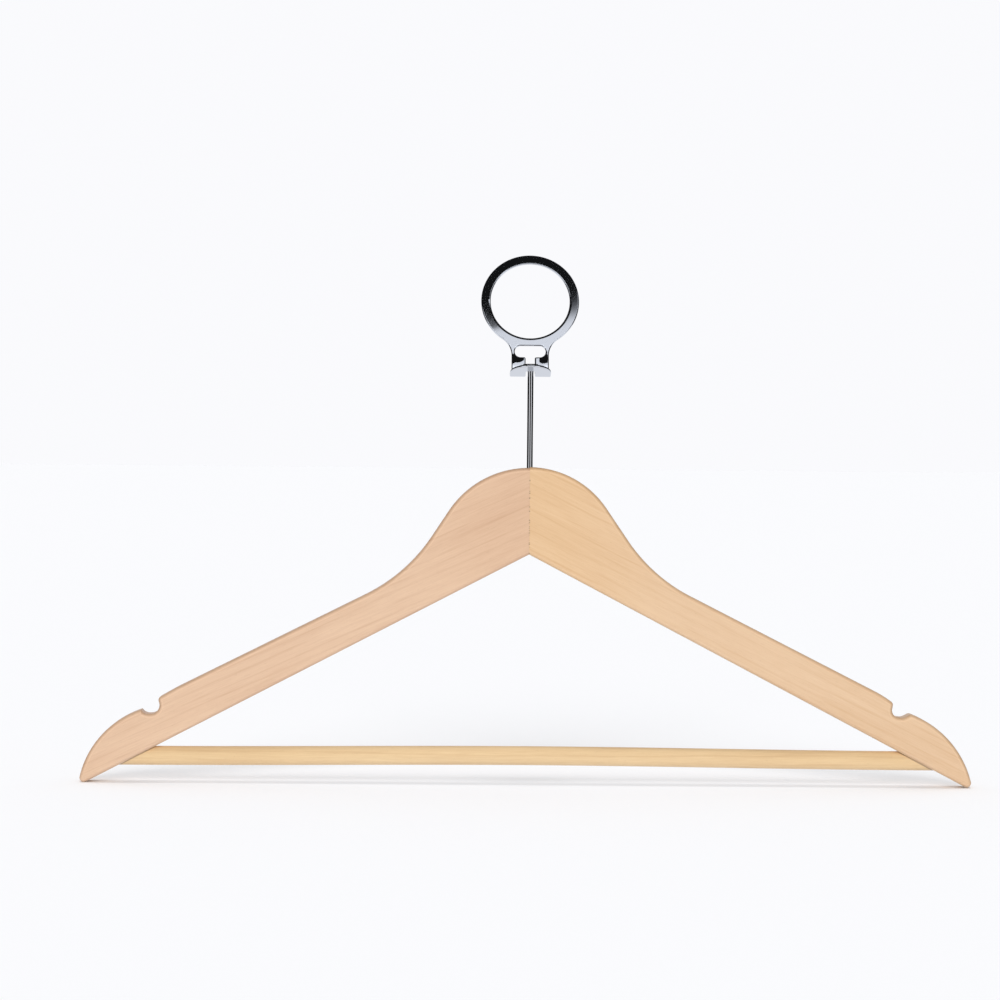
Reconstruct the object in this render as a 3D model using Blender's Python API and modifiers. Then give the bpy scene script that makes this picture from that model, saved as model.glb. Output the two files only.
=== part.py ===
"""Clothes hanger of the security kind: two wooden arms joined at a mitre, a trouser bar,
and a steel nail that hangs in the slotted ledge of a closed ring."""

import math

import bmesh
import bpy
from mathutils import Matrix, Vector

# Lengths are metres and angles are degrees
FIT_GAP = 0.0003

# Closed ring, pressed from sheet steel and folded once
SHEET = 0.0013
SHEET_EDGE = 0.0003
BORE_RADIUS = 0.0200
BAND_WIDTH = 0.0046
RING_LEAN = 18.0
NECK_WIDTH = 0.0188
NECK_FLARE = 0.0105
NECK_STEP = 0.0010
OPENING_WEB = 0.0041
OPENING_WIDTH = 0.0156
OPENING_HEIGHT = 0.0060
SLOT_WIDTH = 0.0046
SLOT_MOUTH_ROUND = 0.0008
LEDGE_DROP = 0.0104
LEDGE_WIDTH = 0.0206
LEDGE_DEPTH = 0.0173
LEDGE_SEAT = 0.0078
FOLD_RADIUS = 0.0010
FOLD_STEPS = 6

# Nail, with the nut and washer that hold it in the wood
NAIL_RADIUS = 0.0015
NAIL_HEAD_RADIUS = 0.00375
NAIL_HEAD_THICKNESS = 0.0013
NAIL_EDGE = 0.0003
NAIL_EXPOSED = 0.0500
NAIL_TIP = 0.0012
NUT_ACROSS_FLATS = 0.0055
NUT_HEIGHT = 0.0024
NUT_DEPTH = 0.0170
WASHER_RADIUS = 0.0036
WASHER_THICKNESS = 0.0006

# Wooden body, seen from the front, with heights measured up from the sharp corners of its tips
BODY_THICKNESS = 0.0120
WOOD_EDGE = 0.0020
TIP_REACH = 0.2233
TIP_RADIUS = 0.0022
UNDERSIDE_ANGLE = 27.6
THROAT_RADIUS = 0.0005
HUB_DEPTH = 0.0440
CROWN_RADIUS = 0.0465
FLANK_ANGLE = 57.0
ARM_DEPTH = 0.0203
ARM_FLARE = 1.0
SHOULDER_RADIUS = 0.0850
END_SETBACK = 0.0058
END_RISE = 0.0298
END_RADIUS = 0.0400
NOTCH_SETBACK = 0.0403
NOTCH_DEPTH = 0.0100
NOTCH_WIDTH = 0.0082
NOTCH_RADIUS = 0.0032
NOTCH_CORNER = 0.0023
NOTCH_LIP = 0.0036

# Trouser bar, its brads, and the dowels across the mitre
BAR_RADIUS = 0.00475
BAR_HEIGHT = 0.0142
BAR_SEAT = 0.0115
BAR_CHAMFER = 0.0006
BRAD_RADIUS = 0.0007
BRAD_LENGTH = 0.0090
BRAD_SEAT = 0.0055
DOWEL_RADIUS = 0.0030
DOWEL_LENGTH = 0.0240
DOWEL_CHAMFER = 0.0006
DOWEL_SPACING = 0.0095

# Facets of arcs and of round sides, the angle shaded as an edge, and the distance that welds points
ARC_STEP = 7.5
ROUND_SIDES = 32
SMALL_SIDES = 12
EDGE_STEPS = 2
EDGE_ANGLE = 30.0
WELD = 0.000001
AXES_SIZE = 0.01

# Sizes worked out from the driving dimensions, with the ring's heights taken down from the rail
LEAN = math.radians(RING_LEAN)
RING_CENTRE = -BORE_RADIUS
OPENING_TOP = -2 * BORE_RADIUS - OPENING_WEB
OPENING_BOTTOM = OPENING_TOP - OPENING_HEIGHT
FOLD_MIDDLE = FOLD_RADIUS + SHEET / 2
FOLD_START = OPENING_BOTTOM - LEDGE_DROP + SHEET + FOLD_RADIUS
FOLD_END = FOLD_START - FOLD_MIDDLE * math.pi / 2
UNDERSIDE_SLOPE = math.tan(math.radians(UNDERSIDE_ANGLE))
SHOULDER_SLOPE = math.tan(math.radians(UNDERSIDE_ANGLE - ARM_FLARE))
FLANK_SLOPE = math.tan(math.radians(FLANK_ANGLE))
THROAT_HEIGHT = UNDERSIDE_SLOPE * TIP_REACH
CROWN_HEIGHT = THROAT_HEIGHT + HUB_DEPTH
SHOULDER_HEIGHT = THROAT_HEIGHT + ARM_DEPTH
NUT_RADIUS = NUT_ACROSS_FLATS / math.sqrt(3)
CHAMBER_RADIUS = max(NUT_RADIUS, WASHER_RADIUS) + FIT_GAP
CHAMBER_ROOF = CROWN_HEIGHT - NUT_DEPTH + WASHER_THICKNESS + 2 * FIT_GAP
CHAMBER_FLOOR = CROWN_HEIGHT - NUT_DEPTH - NUT_HEIGHT - NAIL_TIP - FIT_GAP
BAR_ENTRY = (THROAT_HEIGHT - BAR_HEIGHT) / UNDERSIDE_SLOPE
BAR_END = BAR_ENTRY + BAR_SEAT
DOWEL_MIDDLE = (THROAT_HEIGHT + CHAMBER_FLOOR) / 2
DOWELS = {
    "lower_mitre_dowel": DOWEL_MIDDLE - DOWEL_SPACING / 2,
    "upper_mitre_dowel": DOWEL_MIDDLE + DOWEL_SPACING / 2,
}
SIDES = {"left": -1, "right": 1}


def remove_objects():
    for obj in list(bpy.data.objects):
        bpy.data.objects.remove(obj, do_unlink=True)


def new_collection(name):
    made = bpy.data.collections.new(name)
    bpy.context.scene.collection.children.link(made)
    return made


def new_material(name, colour, roughness, metallic):
    made = bpy.data.materials.new(name)
    made.use_nodes = True
    made.diffuse_color = (*colour, 1.0)
    shader = made.node_tree.nodes["Principled BSDF"]
    shader.inputs["Base Color"].default_value = (*colour, 1.0)
    shader.inputs["Roughness"].default_value = roughness
    shader.inputs["Metallic"].default_value = metallic
    return made


def new_empty(name, location, parent=None):
    empty = bpy.data.objects.new(name, None)
    empty.empty_display_size = AXES_SIZE
    empty.location = location
    empty.parent = parent
    PARTS.objects.link(empty)
    return empty


def new_part(name, mesh, material, parent):
    mesh.name = name
    mesh.materials.append(material)
    mesh.shade_smooth()
    mesh.set_sharp_from_angle(angle=math.radians(EDGE_ANGLE))
    part = bpy.data.objects.new(name, mesh)
    part.parent = parent
    PARTS.objects.link(part)
    return part


def new_cutter(name, mesh, parent):
    cutter = bpy.data.objects.new(name, mesh)
    cutter.parent = parent
    cutter.hide_render = True
    cutter.display_type = "WIRE"
    CUTTERS.objects.link(cutter)
    return cutter


def cut(part, cutter):
    boolean = part.modifiers.new(cutter.name, "BOOLEAN")
    boolean.operation = "DIFFERENCE"
    boolean.solver = "EXACT"
    boolean.object = cutter


def arc(centre, radius, start, end):
    """Points of an arc, both ends included, with its angles in radians."""
    count = max(2, math.ceil(abs(end - start) / math.radians(ARC_STEP)))
    angles = [start + (end - start) * step / count for step in range(count + 1)]
    return [Vector(centre) + radius * Vector((math.cos(a), math.sin(a))) for a in angles]


def rounded(corners):
    """A closed outline through corners given as (across, up, radius), each rounded by an arc.

    A radius is made smaller where the straight beside it is too short for it."""
    places = [Vector(corner[:2]) for corner in corners]
    count = len(places)
    lengths = [(places[index - 1] - places[index]).length for index in range(count)]
    halves = []
    for index in range(count):
        back = places[index - 1] - places[index]
        ahead = places[(index + 1) % count] - places[index]
        halves.append(back.angle(ahead) / 2)
    tangents = [corner[2] / math.tan(half) for corner, half in zip(corners, halves)]
    outline = []
    for index, place in enumerate(places):
        following = (index + 1) % count
        room_back = lengths[index] / (tangents[index] + tangents[index - 1])
        room_ahead = lengths[following] / (tangents[index] + tangents[following])
        radius = corners[index][2] * min(1.0, room_back, room_ahead)
        back = (places[index - 1] - place).normalized()
        ahead = (places[following] - place).normalized()
        centre = place + (back + ahead).normalized() * radius / math.sin(halves[index])
        first = place + back * radius / math.tan(halves[index]) - centre
        last = place + ahead * radius / math.tan(halves[index]) - centre
        start = math.atan2(first.y, first.x)
        sweep = (math.atan2(last.y, last.x) - start + math.pi) % (2 * math.pi) - math.pi
        outline += arc(centre, radius, start, start + sweep)
    before = [outline[-1]] + outline[:-1]
    return [place for place, last in zip(outline, before) if (place - last).length > WELD]


def finish(shape, name):
    bmesh.ops.remove_doubles(shape, verts=shape.verts, dist=WELD)
    bmesh.ops.recalc_face_normals(shape, faces=shape.faces)
    mesh = bpy.data.meshes.new(name)
    shape.to_mesh(mesh)
    shape.free()
    return mesh


def sheet_shape(outlines, thickness, edge):
    """A flat piece in the XZ plane, centred on Y, with its outline edges rounded."""
    curve = bpy.data.curves.new("outline", "CURVE")
    curve.dimensions = "2D"
    curve.fill_mode = "BOTH"
    curve.extrude = thickness / 2 - edge
    curve.bevel_depth = edge
    curve.bevel_resolution = EDGE_STEPS
    curve.offset = -edge
    for outline in outlines:
        spline = curve.splines.new("POLY")
        spline.points.add(len(outline) - 1)
        for point, place in zip(spline.points, outline):
            point.co = (place.x, place.y, 0.0, 1.0)
        spline.use_cyclic_u = True
    guide = bpy.data.objects.new("outline", curve)
    CUTTERS.objects.link(guide)
    graph = bpy.context.evaluated_depsgraph_get()
    flat = bpy.data.meshes.new_from_object(guide.evaluated_get(graph))
    bpy.data.objects.remove(guide, do_unlink=True)
    shape = bmesh.new()
    shape.from_mesh(flat)
    bpy.data.meshes.remove(flat)
    bmesh.ops.rotate(shape, verts=shape.verts, matrix=Matrix.Rotation(math.pi / 2, 3, "X"))
    bmesh.ops.remove_doubles(shape, verts=shape.verts, dist=WELD)
    return shape


def rod_mesh(radius, start, end, sides=ROUND_SIDES, chamfer=0.0):
    """A round rod between two points, with both end edges chamfered where a chamfer is given."""
    start, end = Vector(start), Vector(end)
    axis = end - start
    shape = bmesh.new()
    bmesh.ops.create_cone(
        shape, cap_ends=True, segments=sides, radius1=radius, radius2=radius, depth=axis.length
    )
    if chamfer:
        rims = [edge for edge in shape.edges if abs(edge.verts[0].co.z - edge.verts[1].co.z) < chamfer]
        bmesh.ops.bevel(shape, geom=rims, offset=chamfer, segments=1, affect="EDGES")
    turn = Vector((0, 0, 1)).rotation_difference(axis).to_matrix().to_4x4()
    bmesh.ops.transform(shape, verts=shape.verts, matrix=Matrix.Translation((start + end) / 2) @ turn)
    return finish(shape, "rod")


def box_mesh(low, high):
    low, high = Vector(low), Vector(high)
    shape = bmesh.new()
    bmesh.ops.create_cube(shape, size=1.0)
    bmesh.ops.scale(shape, verts=shape.verts, vec=high - low)
    bmesh.ops.translate(shape, verts=shape.verts, vec=(low + high) / 2)
    return finish(shape, "box")


def profile_mesh(profile):
    """A line through points of (radius, height), for a Screw modifier to turn about Z."""
    mesh = bpy.data.meshes.new("profile")
    places = [(radius, 0.0, height) for radius, height in profile]
    edges = [(index, index + 1) for index in range(len(places) - 1)]
    mesh.from_pydata(places, edges, [])
    return mesh


def blank_outlines():
    """The ring's flat blank before its fold: outer edge, bore, and the opening with its slot."""
    outer = BORE_RADIUS + BAND_WIDTH
    flare_across = NECK_WIDTH / 2 + NECK_FLARE
    flare_drop = math.sqrt((outer + NECK_FLARE) ** 2 - flare_across**2)
    meeting = math.atan2(-flare_drop, flare_across)
    ledge_end = FOLD_END - (LEDGE_DEPTH - SHEET / 2 - FOLD_MIDDLE)
    half = arc((0.0, RING_CENTRE), outer, math.pi / 2, meeting)
    half += arc((flare_across, RING_CENTRE - flare_drop), NECK_FLARE, meeting + math.pi, math.pi)[1:]
    half.append(Vector((NECK_WIDTH / 2, FOLD_START + NECK_STEP)))
    half.append(Vector((LEDGE_WIDTH / 2, FOLD_START)))
    half += arc((0.0, ledge_end + LEDGE_WIDTH / 2), LEDGE_WIDTH / 2, 0.0, -math.pi / 2)
    mirrored = [Vector((-place.x, place.y)) for place in reversed(half[1:-1])]
    bore = arc((0.0, RING_CENTRE), BORE_RADIUS, 0.0, 2 * math.pi)[:-1]
    side = OPENING_WIDTH / 2
    slot = SLOT_WIDTH / 2
    slot_end = FOLD_END - (LEDGE_SEAT - SHEET / 2 - FOLD_MIDDLE) - slot
    right = [
        (side, OPENING_TOP, OPENING_HEIGHT / 2),
        (side, OPENING_BOTTOM, OPENING_HEIGHT / 2),
        (slot, OPENING_BOTTOM, SLOT_MOUTH_ROUND),
        (slot, slot_end, slot),
    ]
    left = [(-across, up, radius) for across, up, radius in reversed(right)]
    return [half + mirrored, bore, rounded(right + left)]


def fold_ledge(shape):
    """Folds the blank forward through a right angle about the line where its ledge begins."""
    arc_length = FOLD_START - FOLD_END
    for step in range(FOLD_STEPS + 1):
        bmesh.ops.bisect_plane(
            shape,
            geom=shape.verts[:] + shape.edges[:] + shape.faces[:],
            plane_co=(0, 0, FOLD_START - arc_length * step / FOLD_STEPS),
            plane_no=(0, 0, 1),
        )
    for vert in shape.verts:
        past = FOLD_START - vert.co.z
        if past <= 0:
            continue
        reach = FOLD_MIDDLE + vert.co.y
        turn = min(past / FOLD_MIDDLE, math.pi / 2)
        beyond = max(past - arc_length, 0.0)
        vert.co.y = reach * math.cos(turn) - FOLD_MIDDLE - beyond
        vert.co.z = FOLD_START - reach * math.sin(turn)


def shoulder(across):
    return SHOULDER_HEIGHT - SHOULDER_SLOPE * across


def body_outline():
    """The wooden body from tip to tip, before the mitre parts it into two arms."""
    crown = CROWN_HEIGHT + CROWN_RADIUS * (math.sqrt(1 + FLANK_SLOPE**2) - 1)
    root = (crown - SHOULDER_HEIGHT) / (FLANK_SLOPE - SHOULDER_SLOPE)
    notch = TIP_REACH - NOTCH_SETBACK
    notch_floor = shoulder(notch) - NOTCH_DEPTH
    right = [
        (root, shoulder(root), SHOULDER_RADIUS),
        (notch, shoulder(notch), NOTCH_CORNER),
        (notch, notch_floor, NOTCH_RADIUS),
        (notch + NOTCH_WIDTH, notch_floor + NOTCH_LIP, 0.0),
        (TIP_REACH - END_SETBACK, END_RISE, END_RADIUS),
        (TIP_REACH, 0.0, TIP_RADIUS),
    ]
    left = [(-across, up, radius) for across, up, radius in reversed(right)]
    throat = (0.0, THROAT_HEIGHT, THROAT_RADIUS)
    return rounded([(0.0, crown, CROWN_RADIUS), *right, throat, *left])


def make_ring():
    shape = sheet_shape(blank_outlines(), SHEET, SHEET_EDGE)
    fold_ledge(shape)
    new_part("security_ring", finish(shape, "ring"), CHROME, RING_FRAME)


def make_nail():
    """The nail hangs by its head, with its tip just past the nut inside the wood."""
    head = NAIL_HEAD_RADIUS
    tip = -(NAIL_EXPOSED + NUT_DEPTH + NUT_HEIGHT + NAIL_TIP)
    profile = [
        (0.0, NAIL_HEAD_THICKNESS),
        (head - NAIL_EDGE, NAIL_HEAD_THICKNESS),
        (head, NAIL_HEAD_THICKNESS - NAIL_EDGE),
        (head, NAIL_EDGE),
        (head - NAIL_EDGE, 0.0),
        (NAIL_RADIUS, 0.0),
        (NAIL_RADIUS, tip + NAIL_EDGE),
        (NAIL_RADIUS - NAIL_EDGE, tip),
        (0.0, tip),
    ]
    nail = new_part("nail_pin", profile_mesh(profile), BRIGHT_STEEL, NAIL_FRAME)
    screw = nail.modifiers.new("turn", "SCREW")
    screw.steps = ROUND_SIDES
    screw.render_steps = ROUND_SIDES
    screw.use_merge_vertices = True
    screw.merge_threshold = WELD


def make_nut():
    """A hexagon nut on the nail, inside the chamber between the arms."""
    top = Vector((0, 0, -NAIL_EXPOSED - NUT_DEPTH))
    bottom = top - Vector((0, 0, NUT_HEIGHT))
    hexagon = rod_mesh(NUT_RADIUS, bottom, top, sides=6)
    nut = new_part("retaining_nut", hexagon, ZINC, NAIL_FRAME)
    bore = rod_mesh(NAIL_RADIUS + FIT_GAP, 2 * bottom, (0, 0, 0))
    cut(nut, new_cutter("nut_bore", bore, NAIL_FRAME))


def make_washer():
    """The washer between the nut and the roof of its chamber."""
    top = Vector((0, 0, CHAMBER_ROOF - FIT_GAP))
    disc = rod_mesh(WASHER_RADIUS, top - Vector((0, 0, WASHER_THICKNESS)), top)
    washer = new_part("thrust_washer", disc, ZINC, BODY_FRAME)
    bore = rod_mesh(NAIL_RADIUS + FIT_GAP, (0, 0, 0), (0, 0, CROWN_HEIGHT))
    cut(washer, new_cutter("washer_bore", bore, BODY_FRAME))


def make_arms():
    """Two arms sawn from one outline at the mitre, each drilled for what it holds."""
    nail_bore = rod_mesh(NAIL_RADIUS + FIT_GAP, (0, 0, CHAMBER_FLOOR), (0, 0, 2 * CROWN_HEIGHT))
    chamber = rod_mesh(CHAMBER_RADIUS, (0, 0, CHAMBER_FLOOR), (0, 0, CHAMBER_ROOF))
    bores = {"nail_bore": nail_bore, "nut_chamber": chamber}
    bores["bar_socket"] = level_rod(BAR_RADIUS + FIT_GAP, BAR_END + FIT_GAP, BAR_HEIGHT)
    for name, height in DOWELS.items():
        bores[f"{name}_bore"] = level_rod(DOWEL_RADIUS + FIT_GAP, DOWEL_LENGTH / 2 + FIT_GAP, height)
    cutters = [new_cutter(name, mesh, BODY_FRAME) for name, mesh in bores.items()]
    for name, side in SIDES.items():
        blank = finish(sheet_shape([body_outline()], BODY_THICKNESS, WOOD_EDGE), "arm")
        arm = new_part(f"{name}_arm", blank, WOOD[name], BODY_FRAME)
        mitre = side * FIT_GAP / 2
        beyond = -side * 2 * TIP_REACH
        low = (min(mitre, beyond), -BODY_THICKNESS, -CROWN_HEIGHT)
        high = (max(mitre, beyond), BODY_THICKNESS, 2 * CROWN_HEIGHT)
        cut(arm, new_cutter(f"{name}_mitre_saw", box_mesh(low, high), BODY_FRAME))
        for cutter in cutters:
            cut(arm, cutter)
        hole = brad_mesh(side, BRAD_RADIUS + FIT_GAP, FIT_GAP)
        cut(arm, new_cutter(f"{name}_brad_bore", hole, BODY_FRAME))


def level_rod(radius, half_length, height, chamfer=0.0):
    """A rod across the mitre, as long on one side of it as on the other."""
    return rod_mesh(radius, (-half_length, 0, height), (half_length, 0, height), chamfer=chamfer)


def brad_mesh(side, radius, spare):
    """A brad driven from the back face through the arm into the bar, or its hole with spare length."""
    across = side * (BAR_ENTRY + BRAD_SEAT)
    back = BODY_THICKNESS / 2
    point = (across, back - BRAD_LENGTH - spare, BAR_HEIGHT)
    end = (across, back + spare, BAR_HEIGHT)
    return rod_mesh(radius, point, end, sides=SMALL_SIDES)


def make_bar():
    """The round trouser bar, seated in both arms and pinned there by a brad at each end."""
    rod = level_rod(BAR_RADIUS, BAR_END, BAR_HEIGHT, BAR_CHAMFER)
    bar = new_part("trouser_bar", rod, WOOD["bar"], BODY_FRAME)
    for name, side in SIDES.items():
        hole = brad_mesh(side, BRAD_RADIUS + FIT_GAP, FIT_GAP)
        cut(bar, new_cutter(f"{name}_bar_hole", hole, BODY_FRAME))
        new_part(f"{name}_bar_brad", brad_mesh(side, BRAD_RADIUS, 0.0), ZINC, BODY_FRAME)


def make_dowels():
    """Two hidden dowels that hold the glued mitre in line."""
    for name, height in DOWELS.items():
        rod = level_rod(DOWEL_RADIUS, DOWEL_LENGTH / 2, height, DOWEL_CHAMFER)
        new_part(name, rod, WOOD["bar"], BODY_FRAME)


remove_objects()
PARTS = new_collection("clothes_hanger")
CUTTERS = new_collection("cutters")
CUTTERS.hide_render = True

CHROME = new_material("chrome_plate", (0.78, 0.79, 0.82), 0.10, 1.0)
BRIGHT_STEEL = new_material("bright_steel", (0.70, 0.71, 0.74), 0.15, 1.0)
ZINC = new_material("zinc_plate", (0.62, 0.63, 0.64), 0.35, 1.0)
WOOD = {
    "left": new_material("left_wood", (0.80, 0.60, 0.43), 0.55, 0.0),
    "right": new_material("right_wood", (0.82, 0.63, 0.42), 0.55, 0.0),
    "bar": new_material("bar_wood", (0.83, 0.63, 0.38), 0.50, 0.0),
}

# The rail bears on the top of the bore, at the origin, and the ring leans back from the upright nail
RING_FRAME = new_empty("ring_frame", (0, 0, 0))
RING_FRAME.rotation_euler.x = -LEAN
seat = Matrix.Rotation(-LEAN, 3, "X") @ Vector((0, SHEET / 2 - LEDGE_SEAT, FOLD_START - FOLD_MIDDLE))
head_lift = SHEET / 2 / math.cos(LEAN) + NAIL_HEAD_RADIUS * math.tan(LEAN) + FIT_GAP
NAIL_FRAME = new_empty("nail_frame", seat + Vector((0, 0, head_lift)))
BODY_FRAME = new_empty("body_frame", (0, 0, -NAIL_EXPOSED - CROWN_HEIGHT), NAIL_FRAME)

make_ring()
make_nail()
make_nut()
make_washer()
make_arms()
make_bar()
make_dowels()
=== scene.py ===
"""Wooden clothes hanger on its closed rail ring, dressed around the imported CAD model."""

import math

import bmesh
import bpy
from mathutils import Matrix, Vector


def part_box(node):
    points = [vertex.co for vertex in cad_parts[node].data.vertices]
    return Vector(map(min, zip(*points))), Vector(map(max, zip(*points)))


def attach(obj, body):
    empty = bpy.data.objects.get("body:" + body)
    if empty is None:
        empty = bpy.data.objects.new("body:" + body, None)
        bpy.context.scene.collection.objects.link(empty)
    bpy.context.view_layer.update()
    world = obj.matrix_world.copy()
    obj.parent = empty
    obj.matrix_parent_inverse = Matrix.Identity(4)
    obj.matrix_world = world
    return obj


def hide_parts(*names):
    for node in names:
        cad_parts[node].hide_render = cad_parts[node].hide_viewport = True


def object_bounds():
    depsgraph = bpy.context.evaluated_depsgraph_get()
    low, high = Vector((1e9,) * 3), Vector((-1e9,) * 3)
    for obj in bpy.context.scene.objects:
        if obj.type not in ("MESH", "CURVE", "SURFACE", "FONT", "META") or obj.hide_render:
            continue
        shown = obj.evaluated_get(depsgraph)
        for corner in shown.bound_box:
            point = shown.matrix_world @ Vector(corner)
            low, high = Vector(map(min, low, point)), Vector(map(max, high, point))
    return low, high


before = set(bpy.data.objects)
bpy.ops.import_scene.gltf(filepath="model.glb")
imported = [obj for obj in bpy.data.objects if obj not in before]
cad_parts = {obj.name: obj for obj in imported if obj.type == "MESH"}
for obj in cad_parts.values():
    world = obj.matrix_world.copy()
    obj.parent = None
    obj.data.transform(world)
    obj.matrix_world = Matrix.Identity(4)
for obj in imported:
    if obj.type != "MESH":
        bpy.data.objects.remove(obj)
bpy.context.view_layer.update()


# Closed ring. It is pressed from bright chromed sheet steel: a round band that hangs on the rail,
# a flared neck with a keyhole opening and a slot, and a half-round ledge folded forward below it.
# The press leaves rounded rims, and the plate is polished but not perfectly flat.
SHEET = 0.0013
SHEET_RIM = 0.00058
BORE_RADIUS = 0.0200
BAND_WIDTH = 0.0048
RING_LEAN = math.radians(18.0)
NECK_WIDTH = 0.0188
NECK_FLARE = 0.0105
NECK_STEP = 0.0010
OPENING_TOP = -0.0441
OPENING_HEIGHT = 0.0060
OPENING_WIDTH = 0.0156
SLOT_WIDTH = 0.0046
SLOT_MOUTH = 0.0008
LEDGE_DROP = 0.0108
LEDGE_WIDTH = 0.0206
LEDGE_DEPTH = 0.0173
LEDGE_SEAT = 0.0078
FOLD_RADIUS = 0.0010
FOLD_STEPS = 10
PRESS_GRID = 0.0007
WING_CENTRES = [(-0.0072, -0.0538), (0.0090, -0.0537)]
WING_REACH = 0.0048
WING_CROWN = 0.00016
EASE_WIDTH = 0.0006
EASE_DROP = 0.00002
CHROME = (0.666, 0.700, 0.763)
HAZE_GRAIN = (0.006, 0.006, 0.006)
WIPE_GRAIN = (0.00022, 0.004, 0.012)
WIPE_TURN = 0.6
WIPE_SHOW = (0.55, 0.75)
WAVE_GRAIN = (0.016, 0.016, 0.016)
WAVE_DEPTH = 0.0001
ARC_STEP = 2.5
RIM_STEPS = 4
SHARP_ANGLE = math.radians(35.0)
FILL_ANGLE = math.radians(0.1)
# Points nearer than WELD become one point, HAIR keeps a cut from catching the points beside it, and a
# face whose normal is past LEVEL along a direction counts as square to it
WELD = 0.000002
HAIR = 0.0000001
LEVEL = math.cos(math.radians(0.3))

fold_middle = FOLD_RADIUS + SHEET / 2
fold_start = OPENING_TOP - OPENING_HEIGHT - LEDGE_DROP + SHEET + FOLD_RADIUS
fold_length = fold_middle * math.pi / 2
ledge_end = fold_start - fold_length - (LEDGE_DEPTH - SHEET / 2 - fold_middle)
slot_end = fold_start - fold_length - (LEDGE_SEAT - SHEET / 2 - fold_middle) - SLOT_WIDTH / 2


def arc(centre, radius, start, end):
    """Points along an arc, both ends included, in three steps or more."""
    count = max(3, math.ceil(abs(math.degrees(end - start)) / ARC_STEP))
    angles = [start + (end - start) * index / count for index in range(count + 1)]
    return [Vector(centre) + radius * Vector((math.cos(a), math.sin(a))) for a in angles]


def rounded(corners):
    """A closed outline through corners given as (across, up, radius), each turned by an arc."""
    places = [Vector(corner[:2]) for corner in corners]
    outline = []
    for index, place in enumerate(places):
        radius = corners[index][2]
        back = (places[index - 1] - place).normalized()
        ahead = (places[(index + 1) % len(places)] - place).normalized()
        if not radius:
            outline.append(place)
            continue
        half = back.angle(ahead) / 2
        centre = place + (back + ahead).normalized() * radius / math.sin(half)
        first = place + back * radius / math.tan(half) - centre
        last = place + ahead * radius / math.tan(half) - centre
        start = math.atan2(first.y, first.x)
        sweep = (math.atan2(last.y, last.x) - start + math.pi) % (2 * math.pi) - math.pi
        outline += arc(centre, radius, start, start + sweep)
    before = [outline[-1]] + outline[:-1]
    return [place for place, last in zip(outline, before) if (place - last).length > WELD]


def mirrored(corners):
    """The same corners on the other side, in the order that goes on round the outline."""
    return [(-corner[0], *corner[1:]) for corner in reversed(corners)]


def ring_outlines():
    """The blank before its fold: outer edge, bore, and the keyhole opening with its slot."""
    outer = BORE_RADIUS + BAND_WIDTH
    flare = NECK_WIDTH / 2 + NECK_FLARE
    drop = math.sqrt((outer + NECK_FLARE) ** 2 - flare**2)
    meeting = math.atan2(-drop, flare)
    half = arc((0.0, -BORE_RADIUS), outer, math.pi / 2, meeting)
    half += arc((flare, -BORE_RADIUS - drop), NECK_FLARE, meeting + math.pi, math.pi)[1:]
    half.append(Vector((NECK_WIDTH / 2, fold_start + NECK_STEP)))
    half.append(Vector((LEDGE_WIDTH / 2, fold_start)))
    half += arc((0.0, ledge_end + LEDGE_WIDTH / 2), LEDGE_WIDTH / 2, 0.0, -math.pi / 2)
    outside = half + [Vector((-place.x, place.y)) for place in reversed(half[1:-1])]
    bore = arc((0.0, -BORE_RADIUS), BORE_RADIUS, 0.0, 2 * math.pi)[:-1]
    side, slot = OPENING_WIDTH / 2, SLOT_WIDTH / 2
    bottom = OPENING_TOP - OPENING_HEIGHT
    keyhole = [
        (side, OPENING_TOP, OPENING_HEIGHT / 2 - WELD),
        (side, bottom, OPENING_HEIGHT / 2 - WELD),
        (slot, bottom, SLOT_MOUTH),
        (slot, slot_end, slot - WELD),
    ]
    return [outside, bore, rounded(keyhole + mirrored(keyhole))]


def only(piece):
    """Makes this the one selected and active object."""
    bpy.ops.object.select_all(action="DESELECT")
    bpy.context.view_layer.objects.active = piece
    piece.select_set(True)


def weld(piece):
    """Merges doubled points and turns every face outwards."""
    only(piece)
    bpy.ops.object.mode_set(mode="EDIT")
    bpy.ops.mesh.select_all(action="SELECT")
    bpy.ops.mesh.remove_doubles(threshold=WELD)
    bpy.ops.mesh.normals_make_consistent(inside=False)
    bpy.ops.object.mode_set(mode="OBJECT")


def flat_blank(name, outlines, thickness, rim):
    """A flat piece in the XZ plane, centred on Y, cut to its outlines and rounded along its rims."""
    bpy.ops.object.select_all(action="DESELECT")
    bpy.ops.curve.primitive_bezier_circle_add()
    blank = bpy.context.object
    blank.name = name
    curve = blank.data
    curve.splines.clear()
    curve.dimensions = "2D"
    curve.fill_mode = "BOTH"
    curve.extrude = thickness / 2 - rim
    curve.bevel_depth = rim
    curve.bevel_resolution = RIM_STEPS
    curve.offset = -rim
    for outline in outlines:
        spline = curve.splines.new("POLY")
        spline.points.add(len(outline) - 1)
        for point, place in zip(spline.points, outline):
            point.co = (place.x, place.y, 0.0, 1.0)
        spline.use_cyclic_u = True
    bpy.ops.object.convert(target="MESH")
    blank.rotation_euler.x = math.pi / 2
    bpy.ops.object.transform_apply(location=False, rotation=True, scale=False)
    weld(blank)
    bpy.ops.object.mode_set(mode="EDIT")
    bpy.ops.mesh.select_all(action="SELECT")
    bpy.ops.mesh.beautify_fill(angle_limit=FILL_ANGLE)
    bpy.ops.object.mode_set(mode="OBJECT")
    return blank


def select_faces(piece, chosen):
    """Selects the faces of a piece in edit mode that a test of their centre and normal picks."""
    bpy.ops.mesh.select_mode(type="FACE")
    bpy.ops.mesh.select_all(action="DESELECT")
    shape = bmesh.from_edit_mesh(piece.data)
    for face in shape.faces:
        face.select_set(chosen(face.calc_center_median(), face.normal))
    bmesh.update_edit_mesh(piece.data)


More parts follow.
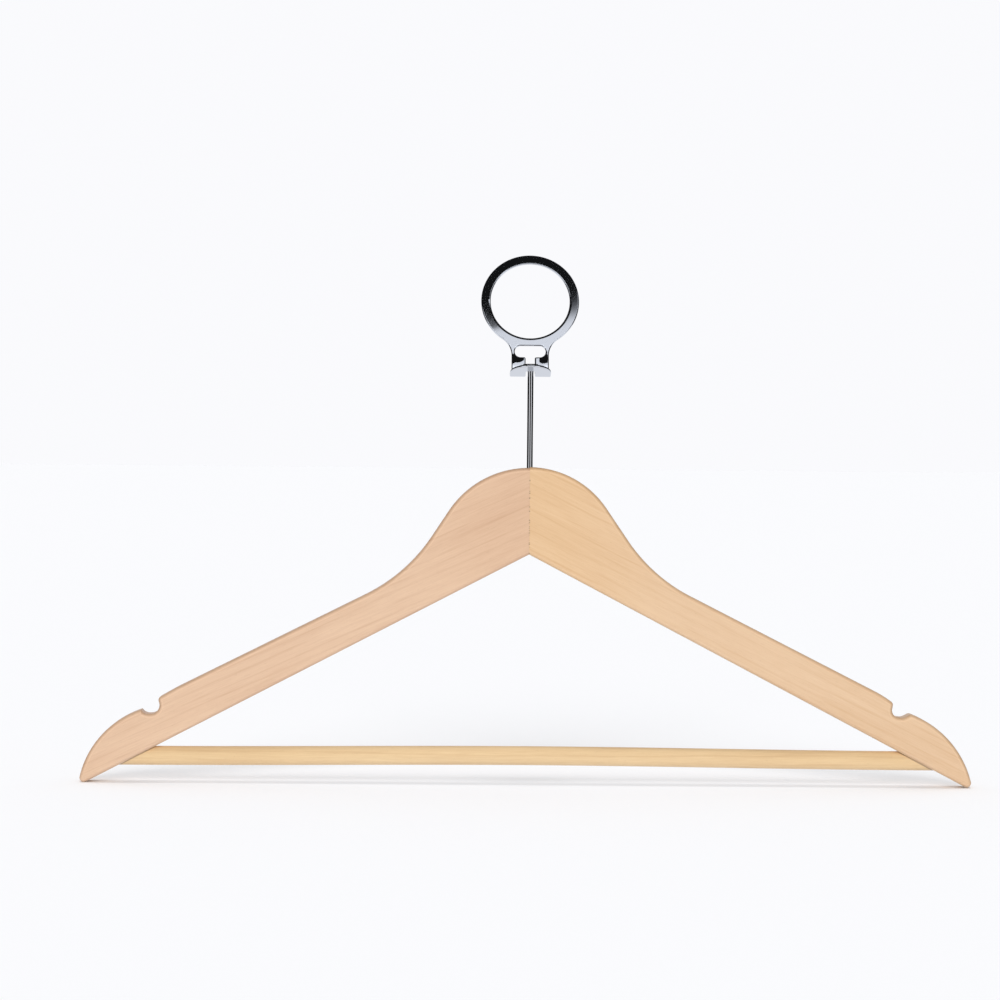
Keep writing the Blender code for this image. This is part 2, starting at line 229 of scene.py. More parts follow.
def select_edges(piece, chosen):
    """Selects the edges of a piece in edit mode that a test of their two ends picks."""
    bpy.ops.mesh.select_mode(type="EDGE")
    bpy.ops.mesh.select_all(action="DESELECT")
    shape = bmesh.from_edit_mesh(piece.data)
    for edge in shape.edges:
        edge.select_set(chosen(edge.verts[0].co, edge.verts[1].co))
    bmesh.update_edit_mesh(piece.data)


def select_points(piece, chosen):
    """Selects the points of a piece in edit mode that a test of their place picks."""
    bpy.ops.mesh.select_mode(type="VERT")
    bpy.ops.mesh.select_all(action="DESELECT")
    shape = bmesh.from_edit_mesh(piece.data)
    for vert in shape.verts:
        vert.select_set(chosen(vert.co))
    bmesh.update_edit_mesh(piece.data)


def push(piece, chosen, travel, reach):
    """Moves the points that a test of their place picks, and draws the points round them along."""
    select_points(piece, chosen)
    bpy.ops.transform.translate(
        value=travel,
        use_proportional_edit=True,
        proportional_edit_falloff="SMOOTH",
        proportional_size=reach,
    )


def smooth(piece, flats):
    """Shades round forms smooth, keeps real edges, and lets the faces along flats stay nearly flat."""
    only(piece)
    bpy.ops.object.shade_smooth_by_angle(angle=SHARP_ANGLE)
    bpy.ops.object.mode_set(mode="EDIT")
    select_faces(piece, lambda centre, normal: any(abs(normal.dot(flat)) > LEVEL for flat in flats))
    bpy.ops.mesh.mod_weighted_strength(set=True, face_strength="STRONG")
    bpy.ops.object.mode_set(mode="OBJECT")
    bpy.ops.object.modifier_add(type="WEIGHTED_NORMAL")
    piece.modifiers[-1].weight = 100
    piece.modifiers[-1].keep_sharp = True
    piece.modifiers[-1].use_face_influence = True
    bpy.ops.object.modifier_apply(modifier=piece.modifiers[-1].name)


class Tint:
    """A socket of a finish's nodes, so that a finish is written as plain sums."""

    # A Mix node's sockets for colours share their names with those for numbers, so they go by number
    MIX_FACTOR, MIX_FIRST, MIX_SECOND, MIX_RESULT = 0, 6, 7, 2

    def __init__(self, tree, socket=None):
        self.tree = tree
        self.socket = socket

    def node(self, kind, settings=None, sockets=None, output=0):
        """Adds a node, sets it up, fills or links its sockets, and gives one of its outputs."""
        made = self.tree.nodes.new(kind)
        for name, value in (settings or {}).items():
            setattr(made, name, value)
        for name, value in (sockets or {}).items():
            if isinstance(value, Tint):
                self.tree.links.new(value.socket, made.inputs[name])
            else:
                made.inputs[name].default_value = value
        return Tint(self.tree, made.outputs[output])

    def maths(self, operation, *values):
        return self.node("ShaderNodeMath", {"operation": operation}, dict(enumerate(values)))

    def __add__(self, other):
        return self.maths("ADD", self, other)

    def __radd__(self, other):
        return self.maths("ADD", other, self)

    def __sub__(self, other):
        return self.maths("SUBTRACT", self, other)

    def __rsub__(self, other):
        return self.maths("SUBTRACT", other, self)

    def __mul__(self, other):
        return self.maths("MULTIPLY", self, other)

    def __rmul__(self, other):
        return self.maths("MULTIPLY", other, self)

    def __abs__(self):
        return self.maths("ABSOLUTE", self)

    def sine(self):
        return self.maths("SINE", self)

    def larger(self, other):
        return self.maths("MAXIMUM", self, other)

    def ramp(self, low, high):
        """0 below low and 1 above high, or the other way round, with a soft step between."""
        ends = (low, high, 0.0, 1.0) if low < high else (high, low, 1.0, 0.0)
        sockets = dict(zip(("From Min", "From Max", "To Min", "To Max"), ends))
        steps = {"interpolation_type": "SMOOTHSTEP"}
        return self.node("ShaderNodeMapRange", steps, {"Value": self, **sockets})

    def between(self, first, second, **settings):
        """The colour that goes from the first to the second as this value goes from 0 to 1."""
        first, second = [end if isinstance(end, Tint) else (*end, 1.0) for end in (first, second)]
        sockets = {self.MIX_FACTOR: self, self.MIX_FIRST: first, self.MIX_SECOND: second}
        return self.node("ShaderNodeMix", {"data_type": "RGBA", **settings}, sockets, self.MIX_RESULT)

    def axes(self):
        """The three numbers of a vector."""
        return [self.node("ShaderNodeSeparateXYZ", None, {"Vector": self}, index) for index in range(3)]

    def laid(self, centre, turn, sizes=(1.0, 1.0, 1.0)):
        """Coordinates counted from a centre and turned about Y, in steps of these sizes."""
        return self.node(
            "ShaderNodeMapping",
            {"vector_type": "TEXTURE"},
            {"Vector": self, "Location": centre, "Rotation": (0.0, turn, 0.0), "Scale": sizes},
        )

    def speckle(self, sizes, centre=(0, 0, 0), turn=0.0, detail=2.0, roughness=0.5):
        """Soft noise whose grains have these sizes along X, Y and Z, about a centre and turned about Y."""
        spots = self.laid(centre, turn, sizes)
        look = {"Vector": spots, "Scale": 1.0, "Detail": detail, "Roughness": roughness}
        return self.node("ShaderNodeTexNoise", None, look)

    def into(self, shader, name):
        """Links this socket to a shader's socket of that name."""
        self.tree.links.new(self.socket, shader.inputs[name])

    def emboss(self, shader, strength, depth):
        """Lets this value stand on a finish as a fine relief of that depth."""
        sockets = {"Strength": strength, "Distance": depth, "Height": self}
        self.node("ShaderNodeBump", None, sockets).into(shader, "Normal")


def new_finish(name, metallic, roughness):
    """A new material, its shader, and the piece's own coordinates."""
    finish = bpy.data.materials.new(name)
    finish.use_nodes = True
    shader = finish.node_tree.nodes["Principled BSDF"]
    shader.inputs["Metallic"].default_value = metallic
    shader.inputs["Roughness"].default_value = roughness
    place = Tint(finish.node_tree).node("ShaderNodeTexCoord", None, None, "Object")
    return finish, shader, place


def toned(amount, colour):
    """A colour made darker or lighter by one amount."""
    return [amount * value for value in colour]


def give(piece, finish):
    """Makes this the piece's one material."""
    piece.data.materials.clear()
    piece.data.materials.append(finish)


def on_bore_rim(place):
    """Whether a point of the blank lies where the bore's rounded rim meets the front."""
    reach = math.hypot(place.x, place.z + BORE_RADIUS) - BORE_RADIUS - SHEET_RIM
    return place.y < WELD - SHEET / 2 and abs(reach) < EASE_WIDTH / 4


ring = flat_blank("ring_plate", ring_outlines(), SHEET, SHEET_RIM)

# The front gets a narrow strip round the bore, and the lower half of the bore's rim is eased back a little
only(ring)
bpy.ops.object.mode_set(mode="EDIT")
select_faces(ring, lambda centre, normal: normal.y < -LEVEL)
bpy.ops.mesh.delete(type="FACE")
select_edges(ring, lambda a, b: on_bore_rim(a) and on_bore_rim(b))
bpy.ops.mesh.extrude_region_move()
strip_scale = 1 + EASE_WIDTH / (BORE_RADIUS + SHEET_RIM)
bpy.ops.transform.resize(value=(strip_scale, 1.0, strip_scale), center_override=(0, 0, -BORE_RADIUS))
bpy.ops.mesh.select_non_manifold(
    extend=False, use_wire=False, use_multi_face=False, use_non_contiguous=False, use_verts=False
)
bpy.ops.mesh.fill()
select_points(ring, lambda place: place.z < -BORE_RADIUS and on_bore_rim(place))
bpy.ops.transform.translate(value=(0, EASE_DROP, 0))

# The lower plate is scored into small faces, so that the press can crown its two wings
press_top = OPENING_TOP + PRESS_GRID
columns = round(LEDGE_WIDTH / PRESS_GRID)
rows = round((press_top - ledge_end) / PRESS_GRID)
fold_lines = [fold_start - fold_length * step / FOLD_STEPS for step in range(FOLD_STEPS + 1)]
scores = [((0, 0, press_top - PRESS_GRID * row), (0, 0, 1)) for row in range(rows)]
scores += [((PRESS_GRID * (column - columns / 2), 0, 0), (1, 0, 0)) for column in range(1, columns)]
scores += [((0, 0, height), (0, 0, 1)) for height in fold_lines]
bpy.ops.mesh.select_all(action="SELECT")
for point, direction in scores:
    bpy.ops.mesh.bisect(plane_co=point, plane_no=direction, threshold=HAIR)
    select_faces(ring, lambda centre, normal: centre.z < press_top)
for wing_x, wing_z in WING_CENTRES:
    push(
        ring,
        lambda place: math.hypot(place.x - wing_x, place.z - wing_z) < PRESS_GRID,
        (0, -WING_CROWN, 0),
        WING_REACH,
    )

# The press brake then folds the ledge forward in small turns about the sheet's middle
sheet = bmesh.from_edit_mesh(ring.data)
flat_heights = [vert.co.z for vert in sheet.verts]
for step in reversed(range(FOLD_STEPS)):
    pivot = fold_start - fold_length * (step + 0.5) / FOLD_STEPS
    bpy.ops.mesh.select_all(action="DESELECT")
    sheet = bmesh.from_edit_mesh(ring.data)
    for vert, height in zip(sheet.verts, flat_heights):
        vert.select = height < pivot
    sheet.select_flush_mode()
    bmesh.update_edit_mesh(ring.data)
    bpy.ops.transform.rotate(
        value=math.pi / 2 / FOLD_STEPS, orient_axis="X", center_override=(0, 0, pivot)
    )
bpy.ops.object.mode_set(mode="OBJECT")
ring.rotation_euler.x = -RING_LEAN
bpy.ops.object.transform_apply(location=False, rotation=True, scale=False)
weld(ring)
plate_front = Vector((0, -math.cos(RING_LEAN), math.sin(RING_LEAN)))
ledge_top = Vector((0, math.sin(RING_LEAN), math.cos(RING_LEAN)))
smooth(ring, (plate_front, ledge_top))

chrome, shader, place = new_finish("bright_chrome", 1.0, 0.03)
haze = place.speckle(HAZE_GRAIN, detail=4.0, roughness=0.6)
wipes = place.speckle(WIPE_GRAIN, turn=WIPE_TURN)
haze.between(toned(0.97, CHROME), CHROME).into(shader, "Base Color")
(0.012 + 0.02 * haze + 0.03 * wipes.ramp(*WIPE_SHOW)).into(shader, "Roughness")
place.speckle(WAVE_GRAIN, detail=0.0).emboss(shader, 0.15, WAVE_DEPTH)
give(ring, chrome)
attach(ring, "ring")
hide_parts("security_ring")


# Nail. A bright drawn steel nail with a flat round head; it hangs in the ledge's slot and runs
# down into the wood. Drawing leaves fine lines along the shank, and the head's rim is rounded.
NAIL_RADIUS = 0.0015
NAIL_HEAD_RADIUS = 0.00375
NAIL_HEAD_THICKNESS = 0.0017
NAIL_RIM = 0.0004
NAIL_HEAD_STEPS = 4
NAIL_END_STEPS = 2
NAIL_SIDES = 48
NAIL_EXPOSED = 0.0496
STEEL = (0.62, 0.63, 0.65)
DRAWN_GRAIN = (0.00012, 0.00012, 0.03)
DRAWN_DEPTH = 0.00002
PATCH_GRAIN = (0.004, 0.004, 0.010)

nail_low, nail_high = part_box("nail_pin")
stem = Vector((0.0, (nail_low.y + nail_high.y) / 2, nail_high.z - NAIL_HEAD_THICKNESS))
shank = stem.z - nail_low.z


def move_to(piece, place):
    """Puts a piece at a place, and its place and turn into its mesh."""
    only(piece)
    piece.location = place
    bpy.ops.object.transform_apply(location=True, rotation=True, scale=True)


def on_head_side(place):
    """Whether a point of the nail lies on the outside of its head."""
    return (place - stem).xy.length > NAIL_HEAD_RADIUS - WELD


bpy.ops.object.select_all(action="DESELECT")
bpy.ops.mesh.primitive_cylinder_add(vertices=NAIL_SIDES, radius=NAIL_RADIUS, depth=shank)
nail = bpy.context.object
nail.name = "hanging_nail"
move_to(nail, stem - Vector((0, 0, shank / 2)))
bpy.ops.object.mode_set(mode="EDIT")
select_faces(nail, lambda centre, normal: normal.z > LEVEL)
bpy.ops.mesh.extrude_region_move()
head_scale = NAIL_HEAD_RADIUS / NAIL_RADIUS
bpy.ops.transform.resize(value=(head_scale, head_scale, 1.0), center_override=stem)
bpy.ops.mesh.extrude_region_move(TRANSFORM_OT_translate={"value": (0, 0, NAIL_HEAD_THICKNESS)})
select_edges(nail, lambda a, b: abs(a.z - b.z) < WELD and on_head_side(a) and on_head_side(b))
bpy.ops.mesh.bevel(offset=NAIL_RIM, segments=NAIL_HEAD_STEPS, affect="EDGES")
select_edges(nail, lambda a, b: max(a.z, b.z) < nail_low.z + WELD)
bpy.ops.mesh.bevel(offset=NAIL_RIM, segments=NAIL_END_STEPS, affect="EDGES")
bpy.ops.object.mode_set(mode="OBJECT")
weld(nail)
smooth(nail, (Vector((0, 0, 1)),))

steel, shader, place = new_finish("drawn_steel", 1.0, 0.14)
drawn = place.speckle(DRAWN_GRAIN, detail=3.0)
patches = place.speckle(PATCH_GRAIN, detail=3.0)
(0.6 * drawn + 0.4 * patches).between(toned(0.86, STEEL), STEEL).into(shader, "Base Color")
(0.02 + 0.03 * patches + 0.03 * drawn).into(shader, "Roughness")
drawn.emboss(shader, 0.08, DRAWN_DEPTH)
give(nail, steel)
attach(nail, "nail")
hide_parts("nail_pin")


# Nut and washer. Small zinc-plated steel parts on the nail inside the wood, where they let the
# hanger turn without pulling off; the CAD solids are their full shape, and get the dull plating.
ZINC = (0.60, 0.61, 0.62)
SPANGLE_GRAIN = (0.0008, 0.0008, 0.0008)
SPANGLE_DEPTH = 0.00002

zinc, shader, place = new_finish("dull_zinc", 1.0, 0.35)
spangle = place.speckle(SPANGLE_GRAIN, detail=3.0)
spangle.between(toned(0.80, ZINC), ZINC).into(shader, "Base Color")
(0.28 + 0.20 * spangle).into(shader, "Roughness")
spangle.emboss(shader, 0.1, SPANGLE_DEPTH)
for name in ("retaining_nut", "thrust_washer"):
    give(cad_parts[name], zinc)


# Arms. Two flat boards of pale close-grained wood, each sawn to its own outline with a strap notch,
# sanded round along its edges, glued at a mitre under the nail and given a thin satin lacquer. The
# grain runs along each arm, and the left board is a little pinker than the right one.
BODY_THICKNESS = 0.0120
WOOD_EDGE = 0.0020
TIP_REACH = 0.2233
UNDERSIDE_SLOPE = math.tan(math.radians(27.6))
THROAT_RADIUS = 0.0005
HUB_DEPTH = 0.0440
MITRE_GAP = 0.00002
BORE_PLAY = 0.00015
BORE_SIDES = 48
CHAMBER_RADIUS = 0.0039
CHAMBER_RISE = 0.0012
CHAMBER_DROP = 0.0039
NUT_DEPTH = 0.0170
BAR_RADIUS = 0.00475
BAR_HEIGHT = 0.0145
BAR_SEAT = 0.0115
SOCKET_SIDES = 64
DOWEL_SIDES = 32
BRAD_RADIUS = 0.0007
BRAD_OVERRUN = 0.001
BRAD_SIDES = 24
# Each template runs from the peak of the crown over the shoulder, into the strap notch and round the
# end to the tip. A corner is given across from the mitre and up from the tips, with its radius; the
# cast tints the colour, from nothing to full between its two distances from the mitre.
ARMS = {
    "left": {
        "side": -1,
        "template": {
            "crown": (0.0, 0.19959, 0.04810),
            "shoulder": (0.06123, 0.10629, 0.08419),
            "run_to_notch": (0.17496, 0.04908, 0.06961),
            "inner_lip": (0.18472, 0.04354, 0.00220),
            "notch_root": (0.18213, 0.03604, 0.00428),
            "notch_floor": (0.19093, 0.03562, 0.00442),
            "outer_lip": (0.19293, 0.03774, 0.0),
            "end": (0.21745, 0.02943, 0.04595),
            "tip": (0.22437, -0.00062, 0.00220),
        },
        "face": (0.739, 0.511, 0.348),
        "line": (0.606, 0.374, 0.238),
        "cast": (0.945, 0.910, 0.885),
        "cast_reach": (0.070, 0.005),
        "grain": -24.0,
    },
    "right": {
        "side": 1,
        "template": {
            "crown": (0.0, 0.19642, 0.04665),
            "shoulder": (0.06166, 0.10624, 0.08460),
            "run_to_notch": (0.17830, 0.04744, 0.05123),
            "inner_lip": (0.18333, 0.04380, 0.00210),
            "notch_root": (0.18200, 0.03705, 0.00361),
            "notch_floor": (0.18838, 0.03640, 0.00450),
            "outer_lip": (0.19214, 0.03836, 0.00210),
            "end": (0.21652, 0.02810, 0.04865),
            "tip": (0.22406, -0.00034, 0.00220),
        },
        "face": (0.743, 0.516, 0.326),
        "line": (0.636, 0.397, 0.216),
        "cast": (1.010, 0.980, 0.895),
        "cast_reach": (0.090, 0.005),
        "grain": 26.6,
    },
}
GRAIN_CENTRE = (0.0137, 0.0031, 0.0217)
LINE_SPACING = 0.0042
LINE_WANDER = 9.0
LINE_SHOW = (0.55, 1.0)
DRIFT_GRAIN = (0.150, 0.0300, 0.0140)
CLOUD_GRAIN = (0.070, 0.0300, 0.0120)
BREAK_GRAIN = (0.045, 0.0060, 0.0016)
BREAK_SHOW = (0.30, 0.62)
FIBRE_GRAIN = (0.010, 0.0004, 0.00030)
PORE_GRAIN = (0.0022, 0.0003, 0.00020)
PORE_SHOW = (0.66, 0.78)
WOOD_DEPTH = 0.00004
LACQUER = 0.12
LACQUER_ROUGHNESS = 0.22
# The dark of the glue at the mitre, which on the bar is also a painted contact shadow
GLUE_AND_SHADOW_LINE = (0.30, 0.19, 0.12)
GLUE_REACH = (0.00045, 0.00015)
GLUE_GRAIN = (0.01, 0.01, 0.0011)
GLUE_SHOW = (0.52, 0.60)
# How far under the arms' undersides the painted contact shadow on the bar reaches
SOCKET_GLUE_AND_SHADOW = (-0.0008, -0.0003)
# The edges are told from the faces by a point's depth as a share of half the thickness, and the top
# edge from the underside by its height over the underside. The edges are painted darker, partly for
# their own darker grain and partly as painted shade, which is strongest on the top edge
EDGE_GRAIN_AND_PAINTED_SHADE = (0.62, 0.555, 0.50)
EDGE_REACH = (0.998, 0.900)
# Where the painted highlight just inside the top edge starts and ends
CREASE_HIGHLIGHT_INSIDE = (0.9883, 0.9925)
CREASE_HIGHLIGHT_OUTSIDE = (0.9998, 0.9967)
TOP_EDGE = (0.004, 0.008)

throat = UNDERSIDE_SLOPE * TIP_REACH
crown = throat + HUB_DEPTH
body = stem - Vector((0, 0, NAIL_EXPOSED + crown))
bar_entry = (throat - BAR_HEIGHT) / UNDERSIDE_SLOPE
bar_end = bar_entry + BAR_SEAT
bar_centre = body + Vector((0, 0, BAR_HEIGHT))
bar_reach = Vector((bar_end, 0, 0))
chamber_roof = body + Vector((0, 0, crown - NUT_DEPTH + CHAMBER_RISE))
chamber_floor = body + Vector((0, 0, crown - NUT_DEPTH - CHAMBER_DROP))
over_crown = body + Vector((0, 0, 2 * crown))


def drill(piece, radius, start, end, sides):
    """Bores a round hole between two points."""
    axis = end - start
    bpy.ops.object.select_all(action="DESELECT")
    bpy.ops.mesh.primitive_cylinder_add(vertices=sides, radius=radius, depth=axis.length)
    bit = bpy.context.object
    bit.rotation_mode = "QUATERNION"
    bit.rotation_quaternion = Vector((0, 0, 1)).rotation_difference(axis)
    move_to(bit, (start + end) / 2)
    only(piece)
    bpy.ops.object.modifier_add(type="BOOLEAN")
    piece.modifiers[-1].operation = "DIFFERENCE"
    piece.modifiers[-1].solver = "EXACT"
    piece.modifiers[-1].object = bit
    bpy.ops.object.modifier_apply(modifier=piece.modifiers[-1].name)
    bpy.data.objects.remove(bit, do_unlink=True)


def wood_finish(name, wood, centre, board):
    """Lacquered wood: thin broken lines along the grain, fine fibres, short pores and soft clouds, with
    painted shade and a painted highlight along a board's edges and a painted contact shadow at the bar's
    sockets.
    """
    finish, shader, place = new_finish(name, 0.0, 0.45)
    face, line, turn = wood["face"], wood["line"], math.radians(wood["grain"])
    over = place.laid(centre, turn).axes()[2]
    drift = place.speckle(DRIFT_GRAIN, centre, turn)
    clouds = place.speckle(CLOUD_GRAIN, centre, turn, detail=3.0)
    breaks = place.speckle(BREAK_GRAIN, centre, turn, roughness=0.6)
    fibres = place.speckle(FIBRE_GRAIN, centre, turn, detail=3.0, roughness=0.6)
    pores = place.speckle(PORE_GRAIN, centre, turn, detail=1.0).ramp(*PORE_SHOW)
    waves = (over * (2 * math.pi / LINE_SPACING) + LINE_WANDER * drift).sine()
    years = waves.ramp(*LINE_SHOW) * breaks.ramp(*BREAK_SHOW)
    tone = 0.29 * years + 0.80 * (clouds - 0.5) + 1.05 * (fibres - 0.5) + 0.60 * (breaks - 0.5)
    colour = tone.between(face, line, clamp_factor=False)
    colour = (0.22 * pores).between(colour, toned(0.60, line))
    width, depth, height = place.axes()
    beside = abs(width)
    above = height - (body.z + throat) + UNDERSIDE_SLOPE * beside
    colour = beside.ramp(*wood["cast_reach"]).between(colour, wood["cast"], blend_type="MULTIPLY")
    if board:
        rim = abs(depth - stem.y) * (2 / BODY_THICKNESS)
        top_edge = above.ramp(*TOP_EDGE)
        # Painted shade on the rounded edges, strongest on the top edge, over the edges' own darker grain
        edge_grain_and_shade = rim.ramp(*EDGE_REACH) * (0.25 + 0.40 * top_edge)
        # A painted highlight along the top edge, where its rounding meets the face
        crease_highlight = rim.ramp(*CREASE_HIGHLIGHT_INSIDE) * rim.ramp(*CREASE_HIGHLIGHT_OUTSIDE) * top_edge
        glue = beside.ramp(*GLUE_REACH) * place.speckle(GLUE_GRAIN).ramp(*GLUE_SHOW)
        colour = edge_grain_and_shade.between(colour, EDGE_GRAIN_AND_PAINTED_SHADE, blend_type="MULTIPLY")
        colour = (0.6 * crease_highlight).between(colour, toned(1.12, face))
        colour = (0.75 * glue).between(colour, GLUE_AND_SHADOW_LINE)
    else:
        # A painted contact shadow, with some glue, where the bar runs into the arms' undersides
        colour = (0.75 * above.ramp(*SOCKET_GLUE_AND_SHADOW)).between(colour, GLUE_AND_SHADOW_LINE)
    colour.into(shader, "Base Color")
    (0.42 + 0.10 * breaks + 0.12 * pores).into(shader, "Roughness")
    shader.inputs["Coat Weight"].default_value = LACQUER
    shader.inputs["Coat Roughness"].default_value = LACQUER_ROUGHNESS
    (0.6 * fibres + 0.3 * breaks - 0.9 * pores).emboss(shader, 0.2, WOOD_DEPTH)
    return finish


for name, wood in ARMS.items():
    side, template = wood["side"], list(wood["template"].values())
    outline = rounded([*template, (0.0, throat, THROAT_RADIUS), *mirrored(template[1:])])
    arm = flat_blank(f"{name}_board", [outline], BODY_THICKNESS, WOOD_EDGE)
    move_to(arm, body)
    bpy.ops.object.mode_set(mode="EDIT")
    bpy.ops.mesh.select_all(action="SELECT")
    bpy.ops.mesh.bisect(
        plane_co=(side * MITRE_GAP / 2, 0, 0),
        plane_no=(-side, 0, 0),
        use_fill=True,
        clear_outer=True,
        threshold=HAIR,
    )
    bpy.ops.object.mode_set(mode="OBJECT")
    weld(arm)
    drill(arm, NAIL_RADIUS + BORE_PLAY, chamber_floor, over_crown, BORE_SIDES)
    drill(arm, CHAMBER_RADIUS, chamber_floor, chamber_roof, BORE_SIDES)
    drill(arm, BAR_RADIUS + BORE_PLAY, bar_centre - bar_reach, bar_centre + bar_reach, SOCKET_SIDES)
    for dowel in ("upper_mitre_dowel", "lower_mitre_dowel"):
        low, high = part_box(dowel)
        middle = (low + high) / 2
        reach = Vector((high.x + BORE_PLAY, 0, 0))
        drill(arm, (high.z - low.z) / 2 + BORE_PLAY, middle - reach, middle + reach, DOWEL_SIDES)
    low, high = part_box(f"{name}_bar_brad")
    middle = (low + high) / 2
    brad_point = Vector((middle.x, low.y, middle.z))
    brad_head = Vector((middle.x, high.y + BRAD_OVERRUN, middle.z))
    drill(arm, BRAD_RADIUS + BORE_PLAY / 2, brad_point, brad_head, BRAD_SIDES)
    weld(arm)
    smooth(arm, (Vector((0, 1, 0)), Vector((1, 0, 0))))
    centre = body + Vector((side * GRAIN_CENTRE[0], *GRAIN_CENTRE[1:]))
    give(arm, wood_finish(f"{name}_arm_wood", wood, centre, board=True))
    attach(arm, "hanger")
    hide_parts(f"{name}_arm")


# Trouser bar. A turned rod of yellower wood with eased ends, sprung up a little between the sockets
# that it is glued into; the same wood makes the two dowels that hold the mitre in line.
BAR_CHAMFER = 0.0006
BAR_END_STEPS = 3
BAR_SIDES = 72
BAR_RINGS = 24
BAR_BOW = 0.0012
BAR_GRAIN_CENTRE = (0.031, 0.007, 0.0043)
BAR_WOOD = {
    "face": (0.788, 0.568, 0.323),
    "line": (0.638, 0.418, 0.220),
    "cast": (0.985, 0.972, 0.950),
    "cast_reach": (0.080, 0.150),
    "grain": 0.0,
}

bpy.ops.object.select_all(action="DESELECT")
bpy.ops.mesh.primitive_cylinder_add(vertices=BAR_SIDES, radius=BAR_RADIUS, depth=2 * bar_end)
bar = bpy.context.object
bar.name = "turned_bar"
bar.rotation_euler.y = math.pi / 2
move_to(bar, bar_centre)
bpy.ops.object.mode_set(mode="EDIT")
select_edges(bar, lambda a, b: min(abs(a.x), abs(b.x)) > bar_end - WELD)
bpy.ops.mesh.bevel(offset=BAR_CHAMFER, segments=BAR_END_STEPS, affect="EDGES")
for step in range(1, BAR_RINGS):
    bpy.ops.mesh.select_all(action="SELECT")
    ring_place = bar_end * (2 * step / BAR_RINGS - 1)
    bpy.ops.mesh.bisect(plane_co=(ring_place, 0, 0), plane_no=(1, 0, 0), threshold=HAIR)
push(bar, lambda place: abs(place.x) < WELD, (0, 0, BAR_BOW), bar_entry)
bpy.ops.object.mode_set(mode="OBJECT")
weld(bar)
smooth(bar, (Vector((1, 0, 0)),))
bar_wood = wood_finish("bar_wood", BAR_WOOD, bar_centre + Vector(BAR_GRAIN_CENTRE), board=False)
give(bar, bar_wood)
# The bar throws no coloured light on the floor close under it
bar.visible_diffuse = False
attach(bar, "hanger")
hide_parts("trouser_bar")
for name in ("upper_mitre_dowel", "lower_mitre_dowel"):
    give(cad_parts[name], bar_wood)


# Brads. Plain zinc-plated pins driven from the back of each arm into the bar, set flush with the
# wood; the CAD solids are their full shape.
for name in ("left_bar_brad", "right_bar_brad"):
    give(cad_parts[name], zinc)


# Floor, light and camera. The hanger stands on its tips on a white paper floor, under an overhead
# lamp, a wide ceiling light and a lamp from the front, with a soft fill from behind. What the chrome
# mirrors is a dark room with a bright bank in front, a strip at each side and white behind and below.
FLOOR_SIZE = 40.0
FLOOR_WHITE = (0.964, 0.969, 0.984)
PAPER_GRAIN = (0.004, 0.004, 0.004)
BACK_WHITE = (0.956, 0.958, 0.981)
AMBIENT = 0.150
BACK_FILL = 0.35
LAMPS = {
    "overhead_lamp": {"elevation": 88.5, "azimuth": 0.0, "spread": 8.0, "strength": 0.58},
    "ceiling_light": {"elevation": 90.0, "azimuth": 0.0, "spread": 170.0, "strength": 0.97},
    "front_lamp": {"elevation": 26.0, "azimuth": -4.0, "spread": 30.0, "strength": 1.56},
}
# The parts of the room, each from nothing to full along the direction's share across, away or up
FRONT_SIDE = (-0.10, -0.35)
BACK_SIDE = (-0.2, 0.4)
BANK_ENDS = (0.38, 0.28)
BANK_FOOT = (0.36, 0.42)
BANK_TOP = 0.6166
BANK_TILT = 0.141
BANK_EDGE = (0.0007, -0.0007)
BANK_SOFT_SIDE = (0.018, 0.040)
BANK_SOFTENING = 0.8
BANK_GLOW_REACH = (0.590, 0.560)
BANK_GLOW = 0.45
STRIP_INSIDE = (0.38, 0.46)
STRIP_OUTSIDE = (0.80, 0.72)
STRIP_TOP = (0.27, 0.20)
STRIP_LEVEL = 1.20
SWEEP_START = (0.80, 0.90)
BELOW_START = (-0.20, -0.30)
WHITE_LEVEL = 0.94
DARK_LEVEL = 0.010
CAMERA_PLACE = (-0.043496, -1.524256, -0.091698)
CAMERA_TURN = (88.940, -0.530, -1.090)
CAMERA_LENS = 107.82
CAMERA_SENSOR = 36.0
CAMERA_SIGHT = 100.0

bpy.ops.object.select_all(action="DESELECT")
bpy.ops.mesh.primitive_plane_add(size=FLOOR_SIZE, location=(0, 0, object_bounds()[0].z))
studio_floor = bpy.context.object
studio_floor.name = "studio_floor"
paper, shader, place = new_finish("white_paper", 0.0, 0.9)
paper_tooth = place.speckle(PAPER_GRAIN, detail=3.0)
paper_tooth.between(toned(0.995, FLOOR_WHITE), FLOOR_WHITE).into(shader, "Base Color")
shader.inputs["Specular IOR Level"].default_value = 0.0
give(studio_floor, paper)
# The chrome mirrors the room and neither the floor nor the lamps
studio_floor.visible_glossy = False

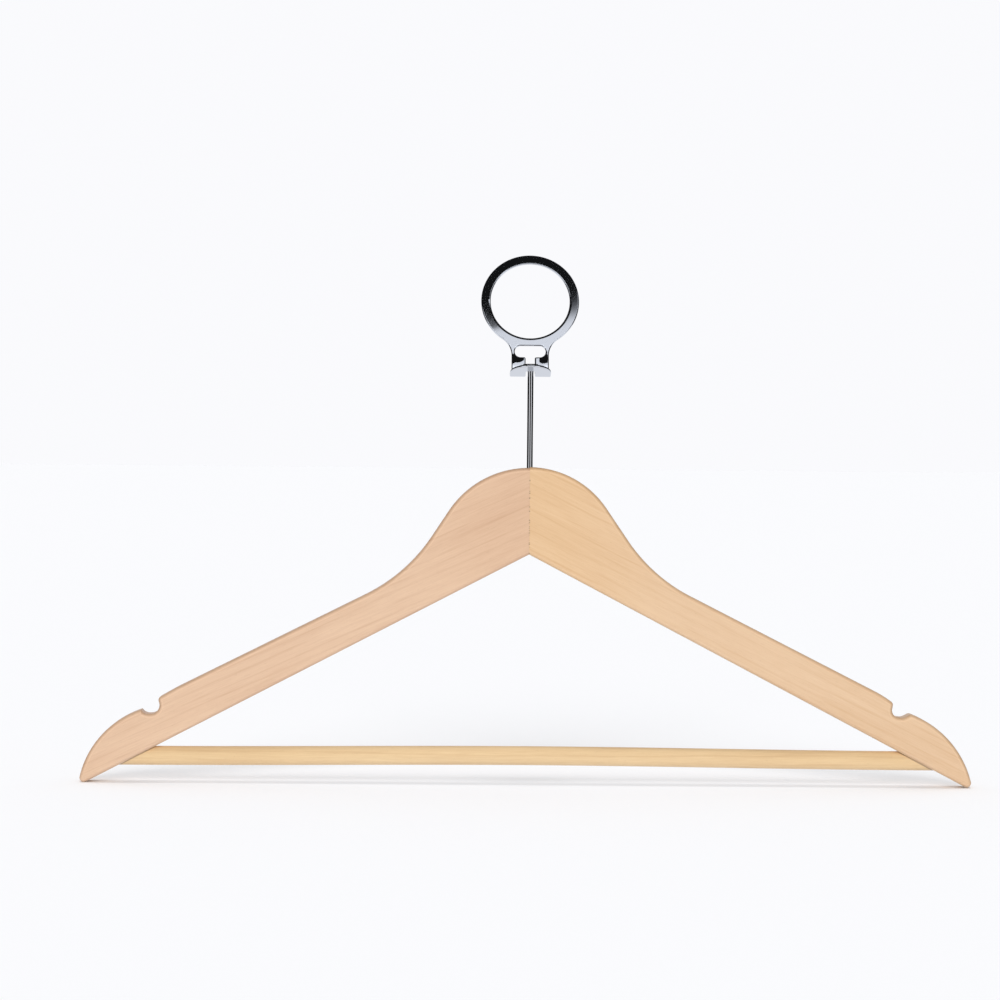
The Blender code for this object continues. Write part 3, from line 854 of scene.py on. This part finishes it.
for name, lamp in LAMPS.items():
    elevation, azimuth = math.radians(lamp["elevation"]), math.radians(lamp["azimuth"])
    bpy.ops.object.light_add(type="SUN")
    light = bpy.context.object
    light.name = name
    light.data.energy = lamp["strength"]
    light.data.angle = math.radians(lamp["spread"])
    light.rotation_euler = (math.pi / 2 - elevation, 0.0, azimuth)
    light.visible_glossy = False

room = bpy.data.worlds.new("studio_room")
bpy.context.scene.world = room
room.use_nodes = True
room.cycles.sampling_method = "NONE"
walls = Tint(room.node_tree)
to_camera = walls.node("ShaderNodeLightPath", output="Is Camera Ray")
to_gloss = walls.node("ShaderNodeLightPath", output="Is Glossy Ray")
through = walls.node("ShaderNodeLightPath", output="Is Transmission Ray")
across, away, up = walls.node("ShaderNodeTexCoord", output="Generated").axes()
beside = abs(across)
front = away.ramp(*FRONT_SIDE)
below = up.ramp(*BELOW_START)
bank_edge = up - BANK_TILT * across - BANK_TOP
bank_edge = bank_edge * (1 - BANK_SOFTENING * across.ramp(*BANK_SOFT_SIDE))
bank = front * beside.ramp(*BANK_ENDS) * up.ramp(*BANK_FOOT) * bank_edge.ramp(*BANK_EDGE)
bank = bank * (1 + BANK_GLOW * up.ramp(*BANK_GLOW_REACH))
strips = beside.ramp(*STRIP_INSIDE) * beside.ramp(*STRIP_OUTSIDE) * front * up.ramp(*STRIP_TOP)
strips = strips * (1 - below)
white = away.ramp(*SWEEP_START).larger(below)
seen = DARK_LEVEL + bank + STRIP_LEVEL * strips + WHITE_LEVEL * white
fill = AMBIENT + BACK_FILL * away.ramp(*BACK_SIDE)
level = to_camera + through + to_gloss * seen + (1 - to_camera - to_gloss - through) * fill
backdrop = room.node_tree.nodes["Background"]
backdrop.inputs["Color"].default_value = (*BACK_WHITE, 1.0)
level.into(backdrop, "Strength")

bpy.ops.object.camera_add(location=CAMERA_PLACE, rotation=[math.radians(angle) for angle in CAMERA_TURN])
camera = bpy.context.object
camera.data.lens = CAMERA_LENS
camera.data.sensor_width = CAMERA_SENSOR
camera.data.clip_end = CAMERA_SIGHT
bpy.context.scene.camera = camera
bpy.context.scene.view_settings.view_transform = "Standard"
